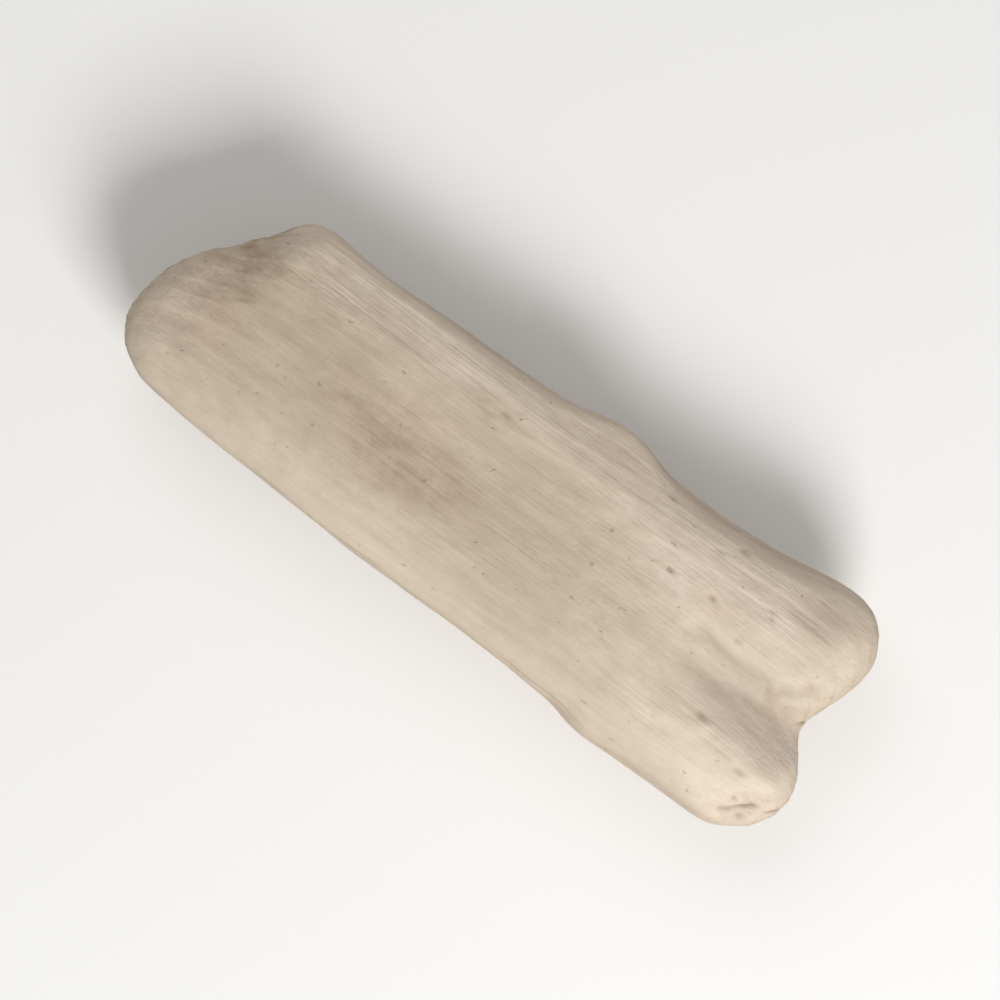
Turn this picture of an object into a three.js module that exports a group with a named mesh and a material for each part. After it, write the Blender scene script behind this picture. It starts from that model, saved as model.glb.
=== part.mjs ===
// A piece of driftwood: a short slab of branch wood that water has worn smooth, blunt and slanted at one
// end, shallowly forked at the other. It lies on a small worn flat under its belly.
//
// Frame: millimetres, +X along the grain from the blunt end to the fork, +Y across the broad face, +Z up.
// The origin is on the resting plane, under the middle of the piece.

import * as THREE from "three";
import { mergeVertices } from "three/addons/utils/BufferGeometryUtils.js";
import { ImprovedNoise } from "three/addons/math/ImprovedNoise.js";

// Driving dimensions
const LENGTH = 100; // tip to tip, along the grain
const WIDTH = 30.5; // across the broad face, where it is plain
const TOP_HEIGHT = 10; // from the widest line of the section up to the broad face
const BELLY_DEPTH = 10; // from the widest line down to the belly
const REST_WEAR = 0.6; // worn off the belly to make the flat that it rests on

// Resolution of the faceted solid
const FACES_AROUND = 72;
const STEPS_ALONG = 56;

// The turned blank that is worn into shape: a rod with rounded rims
const BLANK_RADIUS = 13;
const RIM_ALONG = 9; // how far along the grain a rim is rounded
const RIM_ACROSS = 7.5; // how far in from the side a rim is rounded

// Roundness of the section: 2 is an ellipse, more is boxier
const TOP_SQUARENESS = 4.0;
const BELLY_SQUARENESS = 2.7;

// Bluntness of the ends in the side view: 1 rounds them as in the plan, less keeps them taller
const END_TAPER = 0.62;

// Lines of the plan. Each is a list of [place, value]: for the two edges, [mm along, mm across];
// for the two ends, [share of the half width, mm along].
const HALF = WIDTH / 2;
const UPPER_EDGE = [
  [0, HALF - 2.4],
  [14, HALF - 1.3],
  [21, HALF - 1.7],
  [35, HALF - 1.3],
  [49, HALF - 0.5],
  [58, HALF + 1.0],
  [66, HALF - 0.7],
  [80, HALF - 0.3],
  [91, HALF + 1.7],
  [LENGTH, HALF + 1.5],
];
const LOWER_EDGE = [
  [0, -HALF + 1.1],
  [22, -HALF + 0.1],
  [48, -HALF - 0.3],
  [67, -HALF - 0.5],
  [73.5, -HALF - 1.7],
  [81, -HALF - 1.3],
  [LENGTH, -HALF - 1.0],
];
const BLUNT_END = [
  [-1, -1.2],
  [-0.4, 0],
  [0, 1.4],
  [0.28, 3.4],
  [0.45, 6.2],
  [0.7, 7.7],
  [1, 6.5],
];
const FORKED_END = [
  [-1, LENGTH + 0.5],
  [-0.65, LENGTH + 0.4],
  [-0.38, LENGTH - 0.4],
  [-0.22, LENGTH - 2.3],
  [-0.07, LENGTH - 4.0],
  [0.1, LENGTH - 4.0],
  [0.35, LENGTH - 2.5],
  [0.65, LENGTH - 0.8],
  [1, LENGTH],
];

// Lines of the side view: [mm along, share of the full height]
const TOP_LINE = [
  [0, 0.78],
  [12, 0.9],
  [30, 1.0],
  [52, 0.95],
  [74, 1.02],
  [90, 0.98],
  [LENGTH, 0.86],
];
const BELLY_LINE = [
  [0, 0.62],
  [14, 0.88],
  [30, 1.0],
  [70, 1.0],
  [86, 0.86],
  [LENGTH, 0.6],
];

// The valley that runs along the broad face into the fork, steep on its upper side, and its fellow on the
// belly: where it starts along the piece, its depth at the fork as a share of the height, where its bottom
// lies across the piece at its start and at the fork, and its reach to each side
const TOP_VALLEY = {
  from: 70,
  depth: 0.34,
  startAcross: -3.4,
  endAcross: -0.9,
  upperReach: 2.8,
  lowerReach: 4.8,
};
const BELLY_VALLEY = {
  from: 80,
  depth: 0.34,
  startAcross: 1.5,
  endAcross: -0.6,
  upperReach: 3.6,
  lowerReach: 3.2,
};

// Planes that the piece is worn or split to: a point on each, its outward normal, and how soft its rim is
const FLATS = [
  // long bevel along the upper edge
  { at: [34, 11.4, 8.0], normal: [-0.015, 0.42, 0.91], soft: 0.25 },
  // corner of the lower prong
  { at: [95.2, -11.8, 6.6], normal: [0.5, -0.47, 0.73], soft: 0.3 },
  // slope down to the blunt end
  { at: [5.5, 1.5, 7.0], normal: [-0.42, 0.2, 0.88], soft: 0.45 },
  // split face low on the lower edge
  { at: [40, -13.0, -5.6], normal: [-0.03, -0.7, -0.71], soft: 0.4 },
  // split face low on the upper edge
  { at: [60, 13.4, -6.2], normal: [0.02, 0.6, -0.8], soft: 0.5 },
  // knock under the upper prong
  { at: [93, 11, -5.2], normal: [0.46, 0.4, -0.79], soft: 0.4 },
];

// Hollows and swellings: a place on the surface, its reach along, across and up, and how far it moves it
const DENTS = [
  // hollow in the broad face
  { at: [40, -2.5, 9.5], reach: [17, 6, 5], move: [0, 0, -0.8] },
  // swelling over the upper prong
  { at: [88, 9, 9], reach: [8, 4.5, 5], move: [0, 0, 0.7] },
  // hump of an old side shoot
  { at: [58, 13.5, 5], reach: [6, 4.5, 5], move: [0, 0.3, 0.9] },
  // chip in the lower edge
  { at: [70.8, -15.5, 5], reach: [2.6, 2.4, 4.5], move: [0, 0.7, -0.3] },
  // hollow along the belly
  { at: [30, 8, -8], reach: [16, 3.6, 5], move: [0, -0.3, 1.5] },
];

// Uneven wear: swells all over, and long flutes that follow the grain. Each has a height as a share of the
// section, and how many of them there are to a millimetre along and across.
const SWELL = { height: 0.045, along: 0.045, across: 0.085 };
const FLUTE = { height: 0.028, along: 0.012, across: 0.24 };

// Vertices closer than this are one vertex
const WELD = 1e-4;

const WOOD_COLOUR = 0xcdb99f;
const WOOD_ROUGHNESS = 0.85;

const noise = new ImprovedNoise();

// A smooth line through [place, value] pairs, as a function of the place.
function smoothLine(pairs) {
  const places = pairs.map(([place]) => place);
  const values = pairs.map(([, value]) => value);
  const line = new THREE.CubicInterpolant(places, values, 1);
  return (place) => line.evaluate(place)[0];
}

const upperEdge = smoothLine(UPPER_EDGE);
const lowerEdge = smoothLine(LOWER_EDGE);
const bluntEnd = smoothLine(BLUNT_END);
const forkedEnd = smoothLine(FORKED_END);
const topLine = smoothLine(TOP_LINE);
const bellyLine = smoothLine(BELLY_LINE);

// Profile of the blank, from one end of its axis to the other: [radius, place along].
function blankProfile() {
  const shoulder = BLANK_RADIUS - RIM_ACROSS;
  const profile = new THREE.Path();
  profile.moveTo(0, 0);
  profile.lineTo(shoulder, 0);
  profile.absellipse(shoulder, RIM_ALONG, RIM_ACROSS, RIM_ALONG, -Math.PI / 2, 0, false);
  profile.lineTo(BLANK_RADIUS, LENGTH - RIM_ALONG);
  profile.absellipse(shoulder, LENGTH - RIM_ALONG, RIM_ACROSS, RIM_ALONG, 0, Math.PI / 2, false);
  profile.lineTo(0, LENGTH);
  return profile.getSpacedPoints(STEPS_ALONG);
}

// One kind of wear at a place on the blank, as a share of the section.
function wornBy({ height, along, across }, place) {
  return height * noise.noise(place.along * along, place.across * across, place.up * across);
}

// The distance from the axis to a superellipse of unit half width, in a direction.
function superellipse(across, up, squareness) {
  const sum = Math.abs(across) ** squareness + Math.abs(up) ** squareness;
  return sum ** (-1 / squareness);
}

// From a point of the blank to the slab: the round section becomes a worn slab's.
function slabPoint(place) {
  const radius = Math.hypot(place.across, place.up);
  if (radius === 0) return planPoint(place.along, 0, 0);
  const squareness = place.up > 0 ? TOP_SQUARENESS : BELLY_SQUARENESS;
  const reach = superellipse(place.across / radius, place.up / radius, squareness);
  const worn = 1 + wornBy(SWELL, place) + wornBy(FLUTE, place);
  const toSlab = (reach * worn) / BLANK_RADIUS;
  const blunter = (radius / BLANK_RADIUS) ** (END_TAPER - 1);
  return planPoint(place.along, place.across * toSlab, place.up * toSlab * blunter);
}

// A place between the four lines of the plan and the two lines of the side view. `side` runs from -1 at the
// lower edge to 1 at the upper one, `rise` from -1 at the belly to 1 at the broad face.
function planPoint(along, side, rise) {
  const x = THREE.MathUtils.lerp(bluntEnd(side), forkedEnd(side), along / LENGTH);
  const y = THREE.MathUtils.lerp(lowerEdge(x), upperEdge(x), (side + 1) / 2);
  const height = rise > 0
    ? TOP_HEIGHT * topLine(x) * leftBy(TOP_VALLEY, x, y)
    : BELLY_DEPTH * bellyLine(x) * leftBy(BELLY_VALLEY, x, y);
  return new THREE.Vector3(x, y, rise * height);
}

// The share of the height that a valley leaves at a place in the plan. It deepens towards the fork.
function leftBy(valley, x, y) {
  const share = THREE.MathUtils.smoothstep(x, valley.from, LENGTH);
  const off = y - THREE.MathUtils.lerp(valley.startAcross, valley.endAcross, share);
  const reach = off > 0 ? valley.upperReach : valley.lowerReach;
  return 1 - valley.depth * share * Math.exp(-((off / reach) ** 2));
}

// A dent or swelling fades out from its middle.
function pushDents(point) {
  for (const { at, reach, move } of DENTS) {
    const off = point.clone().sub(new THREE.Vector3(...at)).divide(new THREE.Vector3(...reach));
    point.addScaledVector(new THREE.Vector3(...move), Math.exp(-off.lengthSq()));
  }
}

// What stands past a flat's plane is brought back to it, with a soft rim.
function planeFlats(point) {
  for (const { at, normal, soft } of FLATS) {
    const outward = new THREE.Vector3(...normal).normalize();
    const past = point.clone().sub(new THREE.Vector3(...at)).dot(outward);
    const over = Math.max(past, 0) + soft * Math.log1p(Math.exp(-Math.abs(past) / soft));
    point.addScaledVector(outward, -over);
  }
}

// The whole piece as one closed geometry, standing on its flat, centred over the origin.
function driftwoodGeometry() {
  const geometry = new THREE.LatheGeometry(blankProfile(), FACES_AROUND);
  geometry.deleteAttribute("normal");
  geometry.deleteAttribute("uv");
  const blank = geometry.getAttribute("position");
  for (let i = 0; i < blank.count; i++) {
    const point = slabPoint({ along: blank.getY(i), across: blank.getZ(i), up: blank.getX(i) });
    pushDents(point);
    planeFlats(point);
    blank.setXYZ(i, point.x, point.y, point.z);
  }
  geometry.computeBoundingBox();
  const floor = geometry.boundingBox.min.z + REST_WEAR;
  for (let i = 0; i < blank.count; i++) blank.setZ(i, Math.max(blank.getZ(i), floor));
  geometry.computeBoundingBox();
  const middle = geometry.boundingBox.getCenter(new THREE.Vector3());
  geometry.translate(-middle.x, -middle.y, -floor);
  return mergeVertices(geometry, WELD);
}

const wood = new THREE.MeshStandardMaterial({
  color: WOOD_COLOUR,
  roughness: WOOD_ROUGHNESS,
  metalness: 0,
});
const driftwood = new THREE.Mesh(driftwoodGeometry(), wood);
driftwood.name = "driftwood";

const part = new THREE.Group();
part.name = "driftwood_piece";
part.add(driftwood);

export default part;
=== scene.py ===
"""A piece of driftwood on a pale studio floor, seen from straight above.

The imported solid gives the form. A fine mesh whose lines follow the grain is laid over it, worn by formula
into ridges, checks and pits, and given a bleached wood material. Lengths in the tables are millimetres,
with x along the grain from the middle of the piece, y across it and z up from the floor.
"""

import math

import bmesh
import bpy
import numpy as np
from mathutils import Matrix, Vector, noise
from mathutils.bvhtree import BVHTree


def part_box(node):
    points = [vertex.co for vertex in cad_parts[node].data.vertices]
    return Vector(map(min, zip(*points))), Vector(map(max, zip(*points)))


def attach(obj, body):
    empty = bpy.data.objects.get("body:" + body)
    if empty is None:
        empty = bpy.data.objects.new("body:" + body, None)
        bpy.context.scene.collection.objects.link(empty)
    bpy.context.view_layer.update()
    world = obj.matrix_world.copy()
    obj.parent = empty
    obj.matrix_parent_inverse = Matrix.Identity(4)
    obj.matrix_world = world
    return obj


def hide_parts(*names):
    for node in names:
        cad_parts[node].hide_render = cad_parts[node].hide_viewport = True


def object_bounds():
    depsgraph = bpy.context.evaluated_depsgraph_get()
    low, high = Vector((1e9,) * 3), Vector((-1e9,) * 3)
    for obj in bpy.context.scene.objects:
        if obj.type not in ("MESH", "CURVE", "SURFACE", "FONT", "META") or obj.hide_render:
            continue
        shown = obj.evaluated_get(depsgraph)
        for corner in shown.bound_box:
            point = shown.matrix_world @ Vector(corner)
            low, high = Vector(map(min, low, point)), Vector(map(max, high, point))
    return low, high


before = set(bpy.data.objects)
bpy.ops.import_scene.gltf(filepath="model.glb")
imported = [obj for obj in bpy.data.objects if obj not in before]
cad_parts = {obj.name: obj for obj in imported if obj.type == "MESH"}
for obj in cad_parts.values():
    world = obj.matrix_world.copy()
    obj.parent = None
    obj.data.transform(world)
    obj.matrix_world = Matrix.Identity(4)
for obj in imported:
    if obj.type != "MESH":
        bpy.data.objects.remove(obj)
cad_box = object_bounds()

NODE = "driftwood"
MM = 0.001

# The fine mesh: rings of vertices from end to end, and lines of them along the grain
ROWS = 290
COLUMNS = 340
END_DENSITY = 1.5  # over the ends the rings stand this much closer
FAN_RADIUS = 13.0  # the rings turn over each end about a point this far inside it
SECTION_HALF_WIDTH = 16.0
SECTION_HALF_HEIGHT = 10.0
SECTION_SQUARENESS = 3.4
SECTION_STEPS = 4000  # short steps round the section, from which even ones are taken
SMOOTHING = 2  # subdivisions of the solid's facets before the fine mesh is laid on
WELD = 1e-6  # metres
NORMAL_REACH = 0.6  # relief stands out along normals that are evened out over this length

# Shares of the surface by where it faces: from 0 to 1 between these two parts of the unit normal
TOP_FACING = (0.1, 0.6)
END_FACING = (0.5, 0.85)

# Noise rows hold a height or strength, then waves to a millimetre along and across the grain, then a seed
SEED_STEP = 17.3  # how far apart in the noise two seeds lie

# How the grain waves across and up instead of running straight
GRAIN_WAVES = [
    (1.3, 0.02, 0.03, 11),
    (0.3, 0.06, 0.12, 12),
]
UPWARD_SEED_STEP = 0.5  # the waves upward take seeds this much further on

# The stump of a side shoot in the upper edge, which the grain runs round
KNOT = (8.0, 15.6, 10.5)
KNOT_BEND_REACH = (7.0, 3.6, 3.6)
KNOT_BEND = 0.8
KNOT_REACH = (3.0, 2.2, 2.2)
KNOT_RINGS = 2.6
KNOT_DEPTH = 0.35
KNOT_DARKNESS = 0.35

# Growth rings: where the middle of the tree lay at the middle of the piece, and how it drifts along it
PITH_ACROSS, PITH_UP = 21.0, -4.0
PITH_DRIFT_ACROSS, PITH_DRIFT_UP = 0.03, -0.035
RING_WIDTH = 1.9
RING_SHARPNESS = 3.0
RING_FALL_FROM = 0.8  # the share of a ring at which its late wood starts to fall away
RING_WAVES = [
    (1.3, 0.018, 0.04, 21),
    (0.35, 0.05, 0.16, 22),
]

# Relief of the worn surface
UNDULATIONS = [
    (0.2, 0.05, 0.09, 1),
    (0.09, 0.14, 0.22, 2),
]
GRAIN_RIDGES = [
    (0.08, 0.016, 0.8, 3),
    (0.035, 0.04, 1.8, 4),
]
RIDGES_ON_TOP = 0.32  # share of the grain's relief that is left on the broad face
RING_RELIEF = 0.14
RING_RELIEF_AT_ENDS = 0.05  # added over the ends
BLUNT_END_BUMPS = (0.45, 0.2, 0.26, 5)
BLUNT_END_FROM, BLUNT_END_FULL = -35.0, -45.0

# Pits and bumps in the broad face: x, y, reach along, reach across, depth, darkness. A bump's depth is
# below zero.
# A pit's darkness is partly its own colour and partly painted shade.
SPOTS = [
    (-43.4, 6.9, 1.0, 0.8, 0.6, 0.5),
    (-7.4, 7.7, 1.1, 0.5, 0.15, 0.08),
    (-5.7, 8.7, 0.8, 0.45, 0.2, 0.15),
    (16.5, 12.8, 0.6, 0.3, 0.2, 0.2),
    (21.3, 5.6, 0.6, 0.35, 0.3, 0.38),
    (24.8, 11.0, 0.5, 0.3, 0.2, 0.2),
    (27.3, 12.9, 0.6, 0.3, 0.25, 0.28),
    (27.5, 6.0, 0.6, 0.35, 0.25, 0.3),
    (32.9, 3.7, 0.45, 0.3, 0.2, 0.2),
    (34.1, 9.0, 0.5, 0.3, 0.2, 0.28),
    (34.6, 8.2, 0.4, 0.3, 0.2, 0.22),
    (35.0, -6.1, 0.8, 0.4, 0.25, 0.2),
    (42.7, -8.8, 0.8, 0.5, 0.35, 0.32),
    (44.2, -11.8, 0.5, 0.4, 0.2, 0.2),
    (46.2, -13.1, 0.6, 0.45, 0.25, 0.3),
    (31.0, -8.6, 1.6, 1.0, -0.22, 0.0),
    (35.8, -7.0, 1.1, 0.8, -0.3, 0.0),
    (45.3, -8.0, 2.2, 0.9, -0.35, 0.0),
    (-46.0, -2.0, 2.0, 3.0, -0.3, 0.0),
    (-37.5, 8.5, 2.2, 1.6, -0.3, 0.0),
]

# Grooves and cracks in the broad face: x and y of both ends, half width, depth, darkness
# A groove's darkness is painted shade in it.
GROOVES = [
    (-31.0, 8.2, -2.0, 8.8, 1.6, 0.15, 0.0),
    (27.0, 1.9, 40.0, 1.3, 0.9, 0.3, 0.08),
    (39.0, 0.8, 45.0, 4.6, 0.9, 0.35, 0.06),
    (-43.4, 6.8, -39.4, 0.2, 1.6, 0.45, 0.04),
    (43.2, -14.1, 45.5, -12.3, 0.26, 0.25, 0.32),
    (45.0, -12.7, 47.2, -10.7, 0.24, 0.3, 0.4),
]
GROOVE_BENDS = 3  # waves of noise that a groove follows from end to end

# Drying checks that run with the grain, spread round the sides and belly by a seeded draw
CHECK_COUNT = 34
CHECK_SPAN = (-46.0, 46.0)
CHECK_LENGTH = (6.0, 30.0)
CHECK_HALF_WIDTH = (0.2, 0.34)
CHECK_STEEPNESS = (0.7, 1.7)  # depth to half width
# painted shade inside a check, darker as the check is deeper
CHECK_SHADE = 0.58
CHECK_WANDER = (0.7, 0.12)  # how far a check strays, and its waves to a millimetre
CHECK_BREAKS = (0.15, -0.3, 0.15)  # waves to a millimetre, and the noise between which it closes and opens
WANDER_LINE, BREAK_LINE = 0.5, 7.5  # the lines of noise that the wander and the breaks follow
CHECK_SEED = 8
CHECK_SHARE_ON_TOP = 0.1  # on the broad face they are only faint lines

# Cracks in the end grain that run out from the middle of the tree, by a seeded draw
END_CHECK_COUNT = 6
END_CHECK_HALF_WIDTH = (0.2, 0.34)
END_CHECK_REACH = (2.0, 5.0)
END_CHECK_STEEPNESS = (0.8, 1.7)
# painted shade inside an end check
END_CHECK_SHADE = 0.55
END_CHECK_WANDER = (0.5, 0.05, 0.3, 41)
END_CHECK_SEED = 5

# Knocks worn into the sides and belly, by a seeded draw
KNOCK_COUNT = 22
KNOCK_REACH_ALONG = (1.5, 6.0)
KNOCK_REACH_ACROSS = (1.0, 2.4)
KNOCK_DEPTH = (0.15, 0.45)
KNOCK_EDGES = (0.6, 0.2, 0.35, 42)
KNOCK_SEED = 3

# Broad changes of colour on the upper side, some of them painted shade and light as marked: kind, x, y, reach
# along, reach across, strength
TINTS = [
    ("stain_and_crease_shade", -26.0, 0.0, 24.0, 16.0, 0.14),
    ("stain_and_crease_shade", -41.5, 1.5, 3.5, 4.0, 0.42),
    ("stain_and_crease_shade", -46.0, -3.0, 3.0, 6.0, 0.2),
    ("stain_and_crease_shade", -43.5, 6.5, 3.0, 2.5, 0.5),
    ("stain_and_crease_shade", -39.5, 6.0, 3.0, 2.0, 0.35),
    ("stain_and_crease_shade", -19.0, -1.5, 6.0, 3.0, 0.3),
    ("stain_and_crease_shade", -11.5, -3.0, 7.0, 4.0, 0.8),
    # painted shade along the crease under the upper bevel
    ("stain_and_crease_shade", -7.0, 8.4, 5.0, 1.6, 0.25),
    ("stain_and_crease_shade", 46.5, -12.0, 2.5, 2.5, 0.25),
    ("pink", -12.0, -3.0, 10.0, 5.0, 0.7),
    ("pink", -42.0, 1.0, 5.0, 9.0, 0.6),
    ("pink", 30.0, 6.5, 6.0, 4.5, 0.6),
    # painted shade in the valley of the fork and at its notch
    ("painted_valley_shade", 37.0, -1.8, 8.0, 3.4, 0.9),
    ("painted_valley_shade", 46.0, -2.5, 3.5, 3.5, 0.8),
    # pale: the wood's bleached colour, and painted light where it brightens the right half and the lower left
    # face
    ("pale", -18.0, 11.0, 24.0, 3.6, 0.85),
    ("pale", 40.0, -10.0, 11.0, 4.5, 1.0),
    ("pale", 26.0, 8.0, 16.0, 7.0, 0.85),
    ("pale", 31.0, 7.0, 7.0, 4.5, 0.9),
    ("pale", 44.5, 8.0, 4.0, 5.0, 0.1),
    ("pale", 22.0, -8.0, 12.0, 8.0, 0.4),
    ("pale", -45.5, -4.0, 3.5, 6.0, 0.5),
    ("pale", -22.0, -11.0, 18.0, 4.0, 0.45),
]
TINT_KINDS = ("stain_and_crease_shade", "pink", "painted_valley_shade", "pale")
TINT_EDGES = [
    (0.5, 0.16, 0.26, 31),
    (0.3, 0.4, 0.9, 32),
]
TINT_EDGE_MOST = 2  # a ragged edge multiplies a tint by no more than this

# Grey weathering of the sides and belly and its mean share, and open grain with its mean shares
WEATHER = (0.9, 0.03, 0.08, 33)
WEATHERED_SHARE = 0.5
OPEN_GRAIN = (0.6, 0.025, 0.09, 34)
OPEN_GRAIN_ON_TOP = 0.14
OPEN_GRAIN_ON_SIDES = 0.75

# Wear and painted recess shade by form: the neighbourhood that a point is compared with, and how far it
# stands out or lies deep
WEAR_ROWS = 5
WEAR_COLUMNS = 9
WORN_FROM, WORN_FULL = 0.02, 0.2
# Painted shade: darker where the surface lies deep among its neighbours
RECESS_SHADE_FROM, RECESS_SHADE_FULL = 0.02, 0.2

# Solid noise in the material: waves to a millimetre along and across the grain, detail, and the two values
# of the noise between which it runs from 0 to 1
GRAIN_NOISES = {
    "streak": (0.022, 0.42, 5, 0.29, 0.69),
    "patch": (0.04, 0.085, 3, 0.42, 0.68),
    "blotch": (0.11, 0.2, 4, 0.45, 0.7),
    "mottle": (0.32, 0.5, 4, 0.38, 0.7),
    "fibre": (0.11, 2.6, 3, 0.35, 0.7),
    "hairline": (0.028, 1.9, 2, 0.6, 0.72),
    "pore": (0.3, 4.6, 1, 0.62, 0.75),
    "speck": (0.76, 1.0, 1, 0.73, 0.79),
}
GRAIN_NOISE_ROUGHNESS = 0.6
OPEN_GRAIN_NOISES = ("hairline", "pore")  # these show only where the grain is open

# Values that the mesh keeps for the material
MESH_VALUES = ("end", "dark_marks_and_painted_shade", "weathered", "open", "worn", "painted_recess_shade") + TINT_KINDS

# Colours from the bottom up: what each follows, its strength, and its screen colour
BASE_COLOUR = (190, 174, 153)
COLOUR_LAYERS = [
    ("streak", 0.9, (212, 197, 176)),
    ("patch", 0.65, (208, 188, 169)),
    ("blotch", 0.35, (180, 161, 139)),
    ("late_wood", 0.26, (174, 152, 127)),
    ("weathered", 0.5, (172, 158, 141)),
    # pale: bleached colour, partly painted light on the right half and the lower left face
    ("pale", 0.85, (234, 219, 200)),
    ("pink", 0.45, (212, 184, 163)),
    # painted shade in the valley of the fork
    ("painted_valley_shade", 0.75, (186, 172, 160)),
    # darker patches of the wood, with painted shade along the crease under the upper bevel
    ("stain_and_crease_shade", 0.5, (168, 149, 125)),
    ("mottled_stain_and_crease_shade", 0.9, (150, 130, 106)),
    ("mottle", 0.3, (178, 160, 139)),
    ("end", 0.3, (168, 148, 124)),
    ("end_rings", 0.4, (138, 116, 92)),
    ("worn", 0.3, (226, 212, 193)),
    # painted shade where the surface lies deep
    ("painted_recess_shade", 0.4, (146, 127, 105)),
    ("fibre", 0.13, (158, 138, 114)),
    ("hairline", 0.36, (142, 120, 96)),
    ("pore", 0.42, (130, 108, 84)),
    ("speck", 0.35, (124, 102, 80)),
    # painted shade in checks, cracks, grooves and pits, with the darker colour of pits and the knot
    ("dark_marks_and_painted_shade", 1.0, (102, 80, 60)),
]

# Fine relief below the size of the mesh: what it follows, and how far it stands up
FINE_RELIEF = [
    ("fibre", 0.45),
    ("mottle", 0.5),
    ("hairline", -0.7),
    ("pore", -0.7),
    ("speck", -0.5),
]
FINE_RELIEF_STRENGTH = 0.5
FINE_RELIEF_HEIGHT = 0.0002  # metres
ROUGHNESS_SMOOTH, ROUGHNESS_BARE = 0.68, 0.86
SPECULAR_LEVEL = 0.35

# Sockets of a node that mixes colours: its share, the colour under, the colour over, and the result
MIX_SHARE, MIX_UNDER, MIX_OVER = 0, 6, 7
MIX_RESULT = 2

# Camera: square to the broad face, with the piece turned as it lies in the photograph. Its height and
# the width of the view are metres.
TURN_DEG = 37.0
CAMERA_HEIGHT = 0.62
VIEW_WIDTH = 0.122
SENSOR_WIDTH = 36.0

# Floor and sky, in metres
FLOOR_SIZE = 4.0
FLOOR_DROP = 0.00005  # keeps the floor out of the plane of the flat that rests on it
FLOOR_COLOUR = (0.9, 0.895, 0.88, 1)
FLOOR_ROUGHNESS = 0.9
SKY_COLOUR = (1.0, 0.99, 0.97, 1)
SKY_STRENGTH = 0.32

# Soft lights: name, place in metres, width, power in watts
LIGHTS = [
    ("key_light", (0.46, -0.30, 0.48), 0.34, 4.5),
    ("fill_light", (-0.42, 0.30, 0.65), 0.60, 1.3),
]


def rgb(red, green, blue):
    """A screen colour of 0 to 255 as the linear colour that shaders take, by the sRGB curve."""
    shares = np.array([red, green, blue]) / 255
    linear = np.where(shares <= 0.04045, shares / 12.92, ((shares + 0.055) / 1.055) ** 2.4)
    return (*linear.tolist(), 1)


def ramp_between(values, low, high):
    """0 at low, 1 at high, with a smooth run between."""
    share = np.clip((values - low) / (high - low), 0, 1)
    return share * share * (3 - 2 * share)


def noise_at(points, height, along, across, seed):
    """Noise of about plus and minus a height at each point."""
    places = points * (along, across, across) + seed * SEED_STEP
    return height * np.array([noise.noise(place) for place in places.tolist()])


def noise_sum(points, rows):
    """Several rows of noise added up at each point."""
    return sum(noise_at(points, *row) for row in rows)


def nearness(points, middle, reach):
    """1 at a place, fading to 0 over its reach each way."""
    off = (points - middle) / reach
    return np.exp(-(off**2).sum(axis=1))


def lens_taper(share):
    """1 half way along a run, and 0 at its two ends, like the width of a lens."""
    return np.sqrt(4 * share * (1 - share))


def surface_of(node):
    """A search tree over a smoothed copy of the solid, in millimetres."""
    copy = bpy.data.objects.new("smoothed_copy", node.data.copy())
    bpy.context.scene.collection.objects.link(copy)
    welded = bmesh.new()
    welded.from_mesh(copy.data)
    bmesh.ops.remove_doubles(welded, verts=welded.verts, dist=WELD)
    welded.to_mesh(copy.data)
    welded.free()
    copy.modifiers.new("smoothing", "SUBSURF").levels = SMOOTHING
    evaluated = copy.evaluated_get(bpy.context.evaluated_depsgraph_get())
    mesh = evaluated.to_mesh()
    corners = [vertex.co / MM for vertex in mesh.vertices]
    faces = [tuple(face.vertices) for face in mesh.polygons]
    evaluated.to_mesh_clear()
    copied_mesh = copy.data
    bpy.data.objects.remove(copy)
    bpy.data.meshes.remove(copied_mesh)
    return BVHTree.FromPolygons(corners, faces)


def angles_around():
    """Angles about the grain that step evenly round a slab's section."""
    fine = np.linspace(0, 2 * math.pi, SECTION_STEPS + 1)
    across = np.abs(np.cos(fine) / SECTION_HALF_WIDTH) ** SECTION_SQUARENESS
    up = np.abs(np.sin(fine) / SECTION_HALF_HEIGHT) ** SECTION_SQUARENESS
    reach = (across + up) ** (-1 / SECTION_SQUARENESS)
    steps = np.hypot(np.diff(reach * np.cos(fine)), np.diff(reach * np.sin(fine)))
    travelled = np.concatenate([[0], np.cumsum(steps)])
    return np.interp(np.arange(COLUMNS) / COLUMNS * travelled[-1], travelled, fine)


def ring_starts(low, high):
    """For each ring of the fine mesh, where its rays start along the axis and how far they lean."""
    turn = FAN_RADIUS * math.pi / 2
    straight = high - low - 2 * FAN_RADIUS
    stretches = np.array([0, turn, straight, turn])
    steps = stretches * (0, END_DENSITY, 1, END_DENSITY)
    step_places = np.arange(1, ROWS + 1) / (ROWS + 1) * steps.sum()
    travelled = np.interp(step_places, np.cumsum(steps), np.cumsum(stretches))
    starts = low + FAN_RADIUS + np.clip(travelled - turn, 0, straight)
    before = np.minimum(travelled - turn, 0)
    after = np.maximum(travelled - turn - straight, 0)
    return starts, (before + after) / FAN_RADIUS


def grain_grid(tree, low, high):
    """Points on the surface, in rings from the blunt end to the fork."""
    axis_up = (low.z + high.z) / 2
    angles = angles_around()
    starts, leans = ring_starts(low.x, high.x)
    grid = np.zeros((ROWS, COLUMNS, 3))
    for row, (start, lean) in enumerate(zip(starts, leans)):
        origin = Vector((start, 0, axis_up))
        for column, angle in enumerate(angles):
            across = math.cos(lean) * math.cos(angle)
            up = math.cos(lean) * math.sin(angle)
            grid[row, column] = tree.ray_cast(origin, Vector((math.sin(lean), across, up)))[0]
    return grid


def end_points(grid):
    """The points that close the first and the last ring."""
    return grid[0].mean(axis=0), grid[-1].mean(axis=0)


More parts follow.
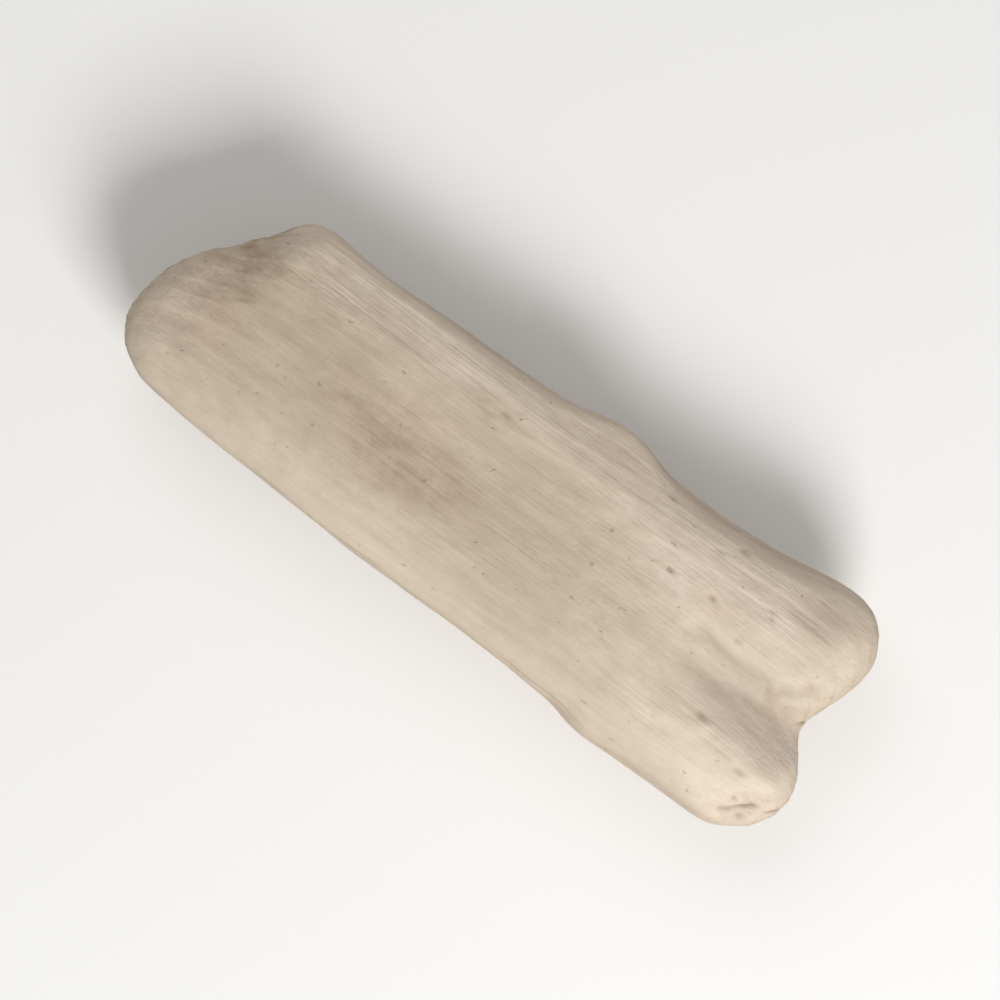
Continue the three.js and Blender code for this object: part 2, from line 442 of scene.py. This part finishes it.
def grid_normals(grid):
    """Outward unit normals of the grid's points."""
    first, last = (np.broadcast_to(point, grid[:1].shape) for point in end_points(grid))
    capped = np.concatenate([first, grid, last])
    along = capped[2:] - capped[:-2]
    around = np.roll(grid, -1, axis=1) - np.roll(grid, 1, axis=1)
    normals = np.cross(around, along)
    return normals / np.linalg.norm(normals, axis=2, keepdims=True)


def evened_normals(grid):
    """Normals evened out round each ring, so that lines that crowd together at an end don't cross."""
    girths = np.linalg.norm(np.roll(grid, -1, axis=1) - grid, axis=2).sum(axis=1)
    waves_around = np.arange(COLUMNS // 2 + 1)
    share_kept = np.exp(-2 * (math.pi * NORMAL_REACH / girths[:, None] * waves_around) ** 2)
    spectrum = np.fft.rfft(grid_normals(grid), axis=1) * share_kept[:, :, None]
    normals = np.fft.irfft(spectrum, COLUMNS, axis=1)
    return normals / np.linalg.norm(normals, axis=2, keepdims=True)


def grain_places(points):
    """The points moved so that the waves of the grain, and its run round the knot, become straight lines."""
    places = points.copy()
    upward_waves = [(*wave, seed + UPWARD_SEED_STEP) for *wave, seed in GRAIN_WAVES]
    places[:, 1] += noise_sum(points, GRAIN_WAVES)
    places[:, 2] += noise_sum(points, upward_waves)
    bend = KNOT_BEND * nearness(points, KNOT, KNOT_BEND_REACH)
    places[:, 1:] -= bend[:, None] * (points - KNOT)[:, 1:]
    return places


def growth_rings(points):
    """How many rings out from the middle of the tree each point lies. A knot adds its own."""
    x, y, z = points.T
    out = np.hypot(y - PITH_ACROSS - PITH_DRIFT_ACROSS * x, z - PITH_UP - PITH_DRIFT_UP * x)
    out += noise_sum(points, RING_WAVES)
    return out / RING_WIDTH + KNOT_RINGS * nearness(points, KNOT, KNOT_REACH)


def late_wood(rings):
    """From 0 to 1, how far a point is into the late wood of its ring, which swells slowly and falls fast."""
    share = rings % 1
    return share**RING_SHARPNESS * (1 - ramp_between(share, RING_FALL_FROM, 1))


def check_marks(grid, share):
    """How deep the drying checks cut at each point, and how much painted shade darkens them there."""
    rng = np.random.default_rng(CHECK_SEED)
    girth = np.linalg.norm(np.diff(grid, axis=1), axis=2).sum(axis=1).max()
    along = grid[:, :, 0]
    places = along.mean(axis=1)
    around = np.arange(COLUMNS) / COLUMNS * girth
    stray, stray_waves = CHECK_WANDER
    break_waves, closed, opened = CHECK_BREAKS
    deepest = CHECK_HALF_WIDTH[1] * CHECK_STEEPNESS[1]
    depth = np.zeros(along.shape)
    dark = np.zeros(along.shape)
    for number in range(CHECK_COUNT):
        length = rng.uniform(*CHECK_LENGTH)
        start = rng.uniform(CHECK_SPAN[0], CHECK_SPAN[1] - length)
        line = rng.uniform(0, girth)
        half_width = rng.uniform(*CHECK_HALF_WIDTH)
        deep = half_width * rng.uniform(*CHECK_STEEPNESS)
        wander = stray * np.array([noise.noise((x * stray_waves, number, WANDER_LINE)) for x in places])
        breaks = np.array([noise.noise((x * break_waves, number, BREAK_LINE)) for x in places])
        off = np.abs(around[None, :] - line - wander[:, None])
        off = np.minimum(off, girth - off)
        part = np.clip((along - start) / length, 0, 1)
        taper = lens_taper(part) * ramp_between(breaks, closed, opened)[:, None]
        mark = taper * np.exp(-((off / half_width) ** 2))
        depth += deep * mark
        dark = np.maximum(dark, CHECK_SHADE * mark * deep / deepest)
    return depth.ravel() * share, dark.ravel() * share


def end_check_marks(points, end):
    """The same for the cracks in the end grain."""
    rng = np.random.default_rng(END_CHECK_SEED)
    x, y, z = points.T
    out = np.hypot(y - PITH_ACROSS, z - PITH_UP)
    angle = np.arctan2(z - PITH_UP, PITH_ACROSS - y)
    wander = noise_at(points, *END_CHECK_WANDER)
    depth = np.zeros(len(points))
    dark = np.zeros(len(points))
    for at_this_end in (end * (x < 0), end * (x > 0)):
        for _ in range(END_CHECK_COUNT):
            middle_angle = rng.uniform(angle.min(), angle.max())
            middle_out = rng.uniform(out.min(), out.max())
            half_width = rng.uniform(*END_CHECK_HALF_WIDTH)
            reach = rng.uniform(*END_CHECK_REACH)
            deep = half_width * rng.uniform(*END_CHECK_STEEPNESS)
            off = (angle - middle_angle) * out + wander
            mark = at_this_end * np.exp(-((off / half_width) ** 2) - ((out - middle_out) / reach) ** 2)
            depth += deep * mark
            dark = np.maximum(dark, END_CHECK_SHADE * mark)
    return depth, dark


def spot_marks(points, upward):
    """The same for the pits and bumps in the broad face."""
    depth = np.zeros(len(points))
    dark = np.zeros(len(points))
    for spot_x, spot_y, reach_along, reach_across, deep, darkness in SPOTS:
        mark = upward * nearness(points[:, :2], (spot_x, spot_y), (reach_along, reach_across))
        depth += deep * mark
        dark = np.maximum(dark, darkness * mark)
    return depth, dark


def groove_marks(points, upward):
    """The same for the grooves and cracks in the broad face."""
    depth = np.zeros(len(points))
    dark = np.zeros(len(points))
    for x0, y0, x1, y1, half_width, deep, darkness in GROOVES:
        run = np.array([x1 - x0, y1 - y0])
        length = np.linalg.norm(run)
        rel = points[:, :2] - (x0, y0)
        share = np.clip(rel @ run / length**2, 0, 1)
        bend = half_width * np.array([noise.noise((part * GROOVE_BENDS, x0, y0)) for part in share])
        off = (rel[:, 0] * run[1] - rel[:, 1] * run[0]) / length + bend
        mark = upward * lens_taper(share) * np.exp(-((off / half_width) ** 2))
        depth += deep * mark
        dark = np.maximum(dark, darkness * mark)
    return depth, dark


def knock_marks(points, upward):
    """The same for the knocks in the sides and belly, which aren't dark."""
    rng = np.random.default_rng(KNOCK_SEED)
    elsewhere = np.flatnonzero(upward == 0)
    ragged = 1 + noise_at(points, *KNOCK_EDGES)
    depth = np.zeros(len(points))
    for _ in range(KNOCK_COUNT):
        middle = points[rng.choice(elsewhere)]
        along = rng.uniform(*KNOCK_REACH_ALONG)
        across = rng.uniform(*KNOCK_REACH_ACROSS)
        depth += rng.uniform(*KNOCK_DEPTH) * nearness(points, middle, (along, across, across))
    return depth * ragged * (1 - upward), np.zeros(len(points))


def knot_marks(points):
    """The same for the knot."""
    mark = nearness(points, KNOT, KNOT_REACH) ** 2
    return KNOT_DEPTH * mark, KNOT_DARKNESS * mark


def tint_strengths(points, upward):
    """Strength of each kind of tint at each point, with ragged edges."""
    ragged = np.clip(1 + noise_sum(points, TINT_EDGES), 0, TINT_EDGE_MOST)
    strengths = {kind: np.zeros(len(points)) for kind in TINT_KINDS}
    for kind, tint_x, tint_y, reach_along, reach_across, strength in TINTS:
        near = nearness(points[:, :2], (tint_x, tint_y), (reach_along, reach_across))
        strengths[kind] += strength * upward * ragged * near
    return {kind: np.clip(strength, 0, 1) for kind, strength in strengths.items()}


def relief(points, places, rings, upward, end):
    """How far the worn surface stands out at each point, before it is marked."""
    height = noise_sum(points, UNDULATIONS)
    height += (1 - (1 - RIDGES_ON_TOP) * upward) * noise_sum(places, GRAIN_RIDGES)
    height += (RING_RELIEF + RING_RELIEF_AT_ENDS * end) * late_wood(rings)
    at_blunt_end = ramp_between(points[:, 0], BLUNT_END_FROM, BLUNT_END_FULL)
    return height + at_blunt_end * noise_at(points, *BLUNT_END_BUMPS)


def standing_out(grid):
    """How far each point of the grid stands out from the middle of its neighbourhood."""
    middle = grid
    for axis, reach, edge in ((0, WEAR_ROWS, "edge"), (1, WEAR_COLUMNS, "wrap")):
        margins = [(reach, reach) if side == axis else (0, 0) for side in range(3)]
        padded = np.pad(middle, margins, mode=edge)
        windows = np.lib.stride_tricks.sliding_window_view(padded, 2 * reach + 1, axis=axis)
        middle = windows.mean(axis=-1)
    return ((grid - middle) * grid_normals(grid)).sum(axis=2).ravel()


def grid_faces():
    """Quads between the rings, and a fan of triangles at each end."""
    faces = []
    for row in range(ROWS - 1):
        for column in range(COLUMNS):
            here, following = row * COLUMNS, (row + 1) * COLUMNS
            onward = (column + 1) % COLUMNS
            faces.append((here + column, here + onward, following + onward, following + column))
    first, last = ROWS * COLUMNS, ROWS * COLUMNS + 1
    end = (ROWS - 1) * COLUMNS
    for column in range(COLUMNS):
        onward = (column + 1) % COLUMNS
        faces.append((first, onward, column))
        faces.append((last, end + column, end + onward))
    return faces


def add_layer(mesh, name, values):
    """Keeps a value for each grid point in the mesh, with the mean of the end rings at its two end points."""
    ends = [values[:COLUMNS].mean(axis=0), values[-COLUMNS:].mean(axis=0)]
    whole = np.concatenate([values, ends]).astype(np.float32)
    kind, field = ("FLOAT", "value") if values.ndim == 1 else ("FLOAT_VECTOR", "vector")
    mesh.attributes.new(name, kind, "POINT").data.foreach_set(field, whole.ravel())


def add_piece(corners, layers):
    """The piece as an object, from its corners in millimetres and the values that its mesh keeps."""
    mesh = bpy.data.meshes.new("driftwood_piece")
    mesh.from_pydata((corners * MM).tolist(), [], grid_faces())
    mesh.polygons.foreach_set("use_smooth", np.ones(len(mesh.polygons), bool))
    for name, values in layers.items():
        add_layer(mesh, name, values)
    mesh.update()
    piece = bpy.data.objects.new("driftwood_piece", mesh)
    bpy.context.scene.collection.objects.link(piece)
    return piece


def build_driftwood():
    """The solid's surface on the fine mesh, worn and marked, with the values that its material follows."""
    low, high = (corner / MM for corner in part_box(NODE))
    grid = grain_grid(surface_of(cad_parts[NODE]), low, high)
    points = grid.reshape(-1, 3)
    normals = evened_normals(grid).reshape(-1, 3)
    upward = ramp_between(normals[:, 2], *TOP_FACING)
    end = ramp_between(np.abs(normals[:, 0]), *END_FACING)
    places = grain_places(points)
    rings = growth_rings(points)

    marks = [
        check_marks(grid, 1 - (1 - CHECK_SHARE_ON_TOP) * upward),
        end_check_marks(points, end),
        spot_marks(points, upward),
        groove_marks(points, upward),
        knock_marks(points, upward),
        knot_marks(points),
    ]
    height = relief(points, places, rings, upward, end) - sum(depth for depth, _ in marks)
    moved = points + normals * height[:, None]
    moved[:, 2] = np.maximum(moved[:, 2], 0)
    worn_grid = moved.reshape(grid.shape)
    out = standing_out(worn_grid)

    open_grain = OPEN_GRAIN_ON_SIDES + (OPEN_GRAIN_ON_TOP - OPEN_GRAIN_ON_SIDES) * upward
    layers = {
        "grain": places,
        "ring": rings,
        "end": end,
        # painted shade in checks, cracks, grooves and pits, with the darker colour of pits and the knot
        "dark_marks_and_painted_shade": np.maximum.reduce([dark for _, dark in marks]),
        "weathered": np.clip(WEATHERED_SHARE + noise_at(points, *WEATHER), 0, 1) * (1 - upward),
        "open": np.clip(open_grain + noise_at(points, *OPEN_GRAIN), 0, 1),
        "worn": ramp_between(out, WORN_FROM, WORN_FULL),
        # painted shade where the surface lies deep
        "painted_recess_shade": ramp_between(-out, RECESS_SHADE_FROM, RECESS_SHADE_FULL),
    }
    layers.update(tint_strengths(points, upward))
    return add_piece(np.concatenate([moved, end_points(worn_grid)]), layers)


def add_node(tree, kind, inputs=None, **settings):
    """A shader node with its settings, and its inputs set or linked."""
    made = tree.nodes.new(kind)
    for name, value in settings.items():
        setattr(made, name, value)
    for socket, value in (inputs or {}).items():
        if isinstance(value, bpy.types.NodeSocket):
            tree.links.new(value, made.inputs[socket])
        else:
            made.inputs[socket].default_value = value
    return made


def scaled(tree, value, low, high, to_low=0, to_high=1):
    """A value run from one range to another, and held at its ends."""
    sockets = {"Value": value, "From Min": low, "From Max": high, "To Min": to_low, "To Max": to_high}
    return add_node(tree, "ShaderNodeMapRange", sockets).outputs["Result"]


def arithmetic(tree, operation, first, second):
    """The result of a named operation on two values."""
    return add_node(tree, "ShaderNodeMath", {0: first, 1: second}, operation=operation).outputs[0]


def times(tree, value, share):
    """A share of a value."""
    return arithmetic(tree, "MULTIPLY", value, share)


def attribute(tree, name, output="Fac"):
    """Values that the mesh keeps under a name."""
    return add_node(tree, "ShaderNodeAttribute", attribute_name=name).outputs[output]


def grain_noise(tree, place, along, across, detail):
    """Noise drawn out along the grain."""
    stretched = add_node(tree, "ShaderNodeMapping", {"Vector": place, "Scale": (along, across, across)})
    sockets = {
        "Vector": stretched.outputs["Vector"],
        "Scale": 1.0,
        "Detail": detail,
        "Roughness": GRAIN_NOISE_ROUGHNESS,
    }
    return add_node(tree, "ShaderNodeTexNoise", sockets).outputs["Fac"]


def surface_values(tree):
    """The values of 0 to 1 that the colours and the fine relief follow, by name."""
    place = attribute(tree, "grain", "Vector")
    values = {name: attribute(tree, name) for name in MESH_VALUES}
    for name, (along, across, detail, low, high) in GRAIN_NOISES.items():
        values[name] = scaled(tree, grain_noise(tree, place, along, across, detail), low, high)
    for name in OPEN_GRAIN_NOISES:
        values[name] = times(tree, values[name], values["open"])
    ring = arithmetic(tree, "FRACT", attribute(tree, "ring"), 0.0)
    values["late_wood"] = arithmetic(tree, "POWER", ring, RING_SHARPNESS)
    values["end_rings"] = times(tree, values["late_wood"], values["end"])
    values["mottled_stain_and_crease_shade"] = times(tree, values["stain_and_crease_shade"], values["mottle"])
    return values


def wood_material():
    """Bleached wood: colours laid one over another, and relief too fine for the mesh."""
    material = bpy.data.materials.new("bleached_wood")
    material.use_nodes = True
    tree = material.node_tree
    shader = tree.nodes["Principled BSDF"]
    values = surface_values(tree)

    colour = rgb(*BASE_COLOUR)
    for name, strength, screen_colour in COLOUR_LAYERS:
        share = times(tree, values[name], strength)
        sockets = {MIX_SHARE: share, MIX_UNDER: colour, MIX_OVER: rgb(*screen_colour)}
        colour = add_node(tree, "ShaderNodeMix", sockets, data_type="RGBA").outputs[MIX_RESULT]
    tree.links.new(colour, shader.inputs["Base Color"])

    roughness = scaled(tree, values["streak"], 0, 1, ROUGHNESS_BARE, ROUGHNESS_SMOOTH)
    tree.links.new(roughness, shader.inputs["Roughness"])
    shader.inputs["Specular IOR Level"].default_value = SPECULAR_LEVEL

    height = 0.0
    for name, strength in FINE_RELIEF:
        height = arithmetic(tree, "ADD", height, times(tree, values[name], strength))
    sockets = {"Strength": FINE_RELIEF_STRENGTH, "Distance": FINE_RELIEF_HEIGHT, "Height": height}
    bump = add_node(tree, "ShaderNodeBump", sockets)
    tree.links.new(bump.outputs["Normal"], shader.inputs["Normal"])
    return material


def floor_material():
    """A plain pale floor."""
    material = bpy.data.materials.new("studio_floor")
    material.use_nodes = True
    shader = material.node_tree.nodes["Principled BSDF"]
    shader.inputs["Base Color"].default_value = FLOOR_COLOUR
    shader.inputs["Roughness"].default_value = FLOOR_ROUGHNESS
    return material


def build_stage():
    """The floor, the soft lights and an even sky."""
    mesh = bpy.data.meshes.new("studio_floor")
    half = FLOOR_SIZE / 2
    corners = [(x, y, -FLOOR_DROP) for x, y in ((-half, -half), (half, -half), (half, half), (-half, half))]
    mesh.from_pydata(corners, [], [(0, 1, 2, 3)])
    mesh.materials.append(floor_material())
    floor = bpy.data.objects.new("studio_floor", mesh)
    bpy.context.scene.collection.objects.link(floor)

    for name, place, width, power in LIGHTS:
        lamp = bpy.data.lights.new(name, "AREA")
        lamp.size = width
        lamp.energy = power
        light = bpy.data.objects.new(name, lamp)
        light.location = place
        light.rotation_euler = (-Vector(place)).to_track_quat("-Z", "Y").to_euler()
        bpy.context.scene.collection.objects.link(light)

    world = bpy.data.worlds.new("studio_sky")
    world.use_nodes = True
    sky = world.node_tree.nodes["Background"]
    sky.inputs["Color"].default_value = SKY_COLOUR
    sky.inputs["Strength"].default_value = SKY_STRENGTH
    bpy.context.scene.world = world
    bpy.context.scene.view_settings.view_transform = "Standard"


def build_camera():
    """A camera straight above the piece."""
    lens = bpy.data.cameras.new("camera")
    lens.sensor_width = SENSOR_WIDTH
    middle_height = (cad_box[0].z + cad_box[1].z) / 2
    lens.lens = SENSOR_WIDTH * (CAMERA_HEIGHT - middle_height) / VIEW_WIDTH
    camera = bpy.data.objects.new("camera", lens)
    camera.location = (0, 0, CAMERA_HEIGHT)
    camera.rotation_euler = (0, 0, math.radians(TURN_DEG))
    bpy.context.scene.collection.objects.link(camera)
    bpy.context.scene.camera = camera


build_camera()
build_stage()
driftwood = build_driftwood()
driftwood.data.materials.append(wood_material())
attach(driftwood, "root")
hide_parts(NODE)
